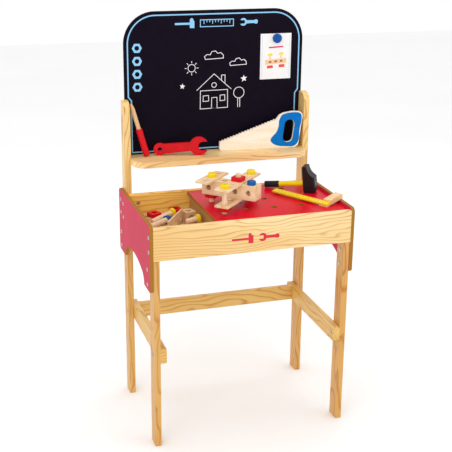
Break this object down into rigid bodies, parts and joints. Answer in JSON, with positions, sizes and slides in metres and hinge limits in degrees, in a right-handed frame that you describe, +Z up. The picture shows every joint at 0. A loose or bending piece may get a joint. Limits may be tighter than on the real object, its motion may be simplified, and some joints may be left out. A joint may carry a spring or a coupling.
{
  "type": "toy workbench",
  "caption": "Child's wooden workbench on tall legs with parts tray, drilled worktop, tool shelf, chalkboard, wooden tools and a bolted toy plane.",
  "frame": {"origin": "middle of the bench's footprint, on the floor", "axes": "+Z up, +X to the right and +Y to the back, seen from the front of the bench"},
  "size_m": [0.544, 0.352, 1.072],
  "materials": {
    "pine": "clear satin varnish",
    "red_board": "red lacquer, brown edges",
    "red_top": "glossy red lacquer, brown edges",
    "steel": "zinc plated",
    "light_wood": "fine-sanded, clear",
    "chalk_black": "matt chalkboard paint",
    "red_paint": "gloss red",
    "yellow_paint": "gloss yellow",
    "blue_paint": "gloss blue",
    "black_paint": "satin black",
    "blue_plastic": "gloss",
    "white_card": "smooth card"
  },
  "bodies": {
    "bench": {"side_panel_left": "red_board", "side_panel_right": "red_board", "front_apron": "pine", "back_apron": "pine", "tray_floor": "light_wood", "tray_divider": "light_wood", "worktop": "red_top", "worktop_battens": "pine", "front_leg_left": "pine", "front_leg_right": "pine", "back_leg_left": "pine", "back_leg_right": "pine", "upright_left": "pine", "upright_right": "pine", "side_rail_left": "pine", "side_rail_right": "pine", "back_rail": "pine", "tool_shelf": "pine", "chalkboard": "chalk_black", "panel_bolts": "steel", "sleeve_nuts": "steel", "barrel_nuts": "steel", "rail_bolts": "steel", "board_screws": "steel"},
    "screwdriver": {"screwdriver_handle": "red_paint", "screwdriver_shank": "light_wood"},
    "wrench": {"wrench": "red_paint"},
    "saw": {"saw": "light_wood"},
    "hammer": {"hammer_head": "black_paint", "hammer_shaft": "yellow_paint", "hammer_grip": "black_paint"},
    "try_square": {"square_stock": "light_wood", "square_ruler": "yellow_paint"},
    "plan_card": {"plan_card": "white_card"},
    "magnet": {"magnet": "blue_plastic"},
    "plane": {"plane_fuselage": "light_wood", "plane_nose": "light_wood", "plane_nose_peg": "light_wood", "plane_upper_wing": "light_wood", "plane_lower_wing": "light_wood"},
    "plane_tail": {"plane_tail": "light_wood"},
    "plane_bolt_tail": {"plane_bolt_tail": "yellow_paint"},
    "plane_bolt_left": {"plane_bolt_left": "yellow_paint"},
    "plane_bolt_right": {"plane_bolt_right": "yellow_paint"},
    "plane_bolt_centre": {"plane_bolt_centre": "blue_paint"},
    "plane_bolt_nose": {"plane_bolt_nose": "blue_paint"},
    "plane_nut_tail": {"plane_nut_tail": "red_paint"},
    "plane_nut_left": {"plane_nut_left": "red_paint"},
    "plane_nut_right": {"plane_nut_right": "red_paint"},
    "plane_nut_centre": {"plane_nut_centre": "red_paint"},
    "tray_plate_edge": {"tray_plate_edge": "light_wood"},
    "tray_plate_left": {"tray_plate_left": "light_wood"},
    "tray_plate_right": {"tray_plate_right": "light_wood"},
    "tray_block": {"tray_block": "light_wood"},
    "tray_bolt_blue": {"tray_bolt_blue": "blue_paint"},
    "tray_bolt_yellow": {"tray_bolt_yellow": "yellow_paint"},
    "tray_bolt_short": {"tray_bolt_short": "yellow_paint"},
    "tray_nut_left": {"tray_nut_left": "red_paint"},
    "tray_nut_back": {"tray_nut_back": "red_paint"}
  },
  "joints": [
    {"name": "screwdriver_lift", "type": "slide", "parent": "bench", "child": "screwdriver", "axis": [0, 0, 1], "range_m": [0, 0.2]},
    {"name": "wrench_lift", "type": "slide", "parent": "bench", "child": "wrench", "axis": [0, 0, 1], "range_m": [0, 0.25]},
    {"name": "saw_lift", "type": "slide", "parent": "bench", "child": "saw", "axis": [0, 0, 1], "range_m": [0, 0.25]},
    {"name": "hammer_lift", "type": "slide", "parent": "bench", "child": "hammer", "axis": [0, -0.7071, 0.7071], "range_m": [0, 0.2]},
    {"name": "try_square_lift", "type": "slide", "parent": "bench", "child": "try_square", "axis": [0, 0, 1], "range_m": [0, 0.25]},
    {"name": "plan_card_pull", "type": "slide", "parent": "bench", "child": "plan_card", "axis": [0, -1, 0], "range_m": [0, 0.05]},
    {"name": "magnet_pull", "type": "slide", "parent": "plan_card", "child": "magnet", "axis": [0, -1, 0], "range_m": [0, 0.06]},
    {"name": "plane_lift", "type": "slide", "parent": "bench", "child": "plane", "axis": [0, 0, 1], "range_m": [0, 0.2]},
    {"name": "plane_tail_swing", "type": "hinge", "parent": "plane", "child": "plane_tail", "pos_m": [-0.059, 0.001, 0.6616], "axis": [0, 0, 1], "range_deg": [-45, 45]},
    {"name": "plane_bolt_tail_spin", "type": "hinge", "parent": "plane", "child": "plane_bolt_tail", "pos_m": [-0.059, 0.001, 0.668], "axis": [0, 0, 1], "continuous": true},
    {"name": "plane_bolt_left_spin", "type": "hinge", "parent": "plane", "child": "plane_bolt_left", "pos_m": [-0.05862, -0.10648, 0.668], "axis": [0, 0, 1], "continuous": true},
    {"name": "plane_bolt_right_spin", "type": "hinge", "parent": "plane", "child": "plane_bolt_right", "pos_m": [0.04848, 0.00137, 0.668], "axis": [0, 0, 1], "continuous": true},
    {"name": "plane_bolt_centre_spin", "type": "hinge", "parent": "plane", "child": "plane_bolt_centre", "pos_m": [-0.00507, -0.05255, 0.62], "axis": [0, 0, 1], "continuous": true},
    {"name": "plane_bolt_nose_spin", "type": "hinge", "parent": "plane", "child": "plane_bolt_nose", "pos_m": [0.02189, -0.07933, 0.65], "axis": [0, 0, 1], "continuous": true},
    {"name": "plane_nut_tail_spin", "type": "hinge", "parent": "plane", "child": "plane_nut_tail", "pos_m": [-0.059, 0.001, 0.615], "axis": [0, 0, 1], "continuous": true},
    {"name": "plane_nut_left_spin", "type": "hinge", "parent": "plane", "child": "plane_nut_left", "pos_m": [-0.05862, -0.10648, 0.61], "axis": [0, 0, 1], "continuous": true},
    {"name": "plane_nut_right_spin", "type": "hinge", "parent": "plane", "child": "plane_nut_right", "pos_m": [0.04848, 0.00137, 0.61], "axis": [0, 0, 1], "continuous": true},
    {"name": "plane_nut_centre_spin", "type": "hinge", "parent": "plane", "child": "plane_nut_centre", "pos_m": [-0.00507, -0.05255, 0.669], "axis": [0, 0, 1], "continuous": true},
    {"name": "tray_plate_edge_lift", "type": "slide", "parent": "bench", "child": "tray_plate_edge", "axis": [0, 0, 1], "range_m": [0, 0.1]},
    {"name": "tray_plate_left_lift", "type": "slide", "parent": "bench", "child": "tray_plate_left", "axis": [0, 0, 1], "range_m": [0, 0.05]},
    {"name": "tray_plate_right_lift", "type": "slide", "parent": "bench", "child": "tray_plate_right", "axis": [0, 0, 1], "range_m": [0, 0.045]},
    {"name": "tray_block_lift", "type": "slide", "parent": "bench", "child": "tray_block", "axis": [0, 0, 1], "range_m": [0, 0.06]},
    {"name": "tray_bolt_blue_lift", "type": "slide", "parent": "bench", "child": "tray_bolt_blue", "axis": [0, 0, 1], "range_m": [0, 0.12]},
    {"name": "tray_bolt_yellow_lift", "type": "slide", "parent": "tray_plate_left", "child": "tray_bolt_yellow", "axis": [0, 0, 1], "range_m": [0, 0.05]},
    {"name": "tray_nut_left_lift", "type": "slide", "parent": "tray_plate_left", "child": "tray_nut_left", "axis": [0, 0, 1], "range_m": [0, 0.04]},
    {"name": "tray_bolt_short_lift", "type": "slide", "parent": "tray_plate_right", "child": "tray_bolt_short", "axis": [0, 0, 1], "range_m": [0, 0.03]},
    {"name": "tray_nut_back_lift", "type": "slide", "parent": "bench", "child": "tray_nut_back", "axis": [0, 0, 1], "range_m": [0, 0.08]}
  ]
}
